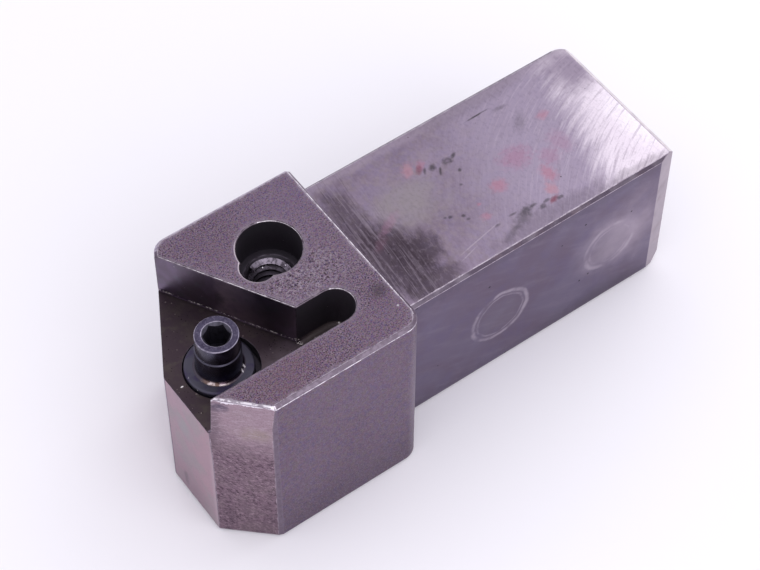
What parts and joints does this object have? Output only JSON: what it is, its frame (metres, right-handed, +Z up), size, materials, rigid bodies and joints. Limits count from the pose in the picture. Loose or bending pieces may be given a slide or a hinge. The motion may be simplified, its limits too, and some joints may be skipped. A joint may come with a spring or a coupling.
{
  "type": "turning tool holder",
  "caption": "Right-angle headed external turning tool holder with a square shank, a pocket for a triangular insert, a bore for a top clamp and a lock pin with a hexagon socket.",
  "frame": {"origin": "on the underside, on the shank's centre line, below the head's rear shoulder", "axes": "+X along the shank towards the nose, +Y towards the side on which the head overhangs, +Z up, square to the underside"},
  "size_m": [0.0786, 0.0315, 0.0318],
  "materials": {
    "holder_steel": "blackened, satin, bright on worn edges",
    "pin_steel": "oil-blackened, glossy"
  },
  "bodies": {
    "holder": {"holder_body": "holder_steel"},
    "pin": {"lock_pin": "pin_steel"}
  },
  "joints": [
    {"name": "lock_pin_turn", "type": "hinge", "parent": "holder", "child": "pin", "pos_m": [0.02296, 0.00456, 0.02205], "axis": [0, 0, 1], "range_deg": [0, 360]}
  ]
}
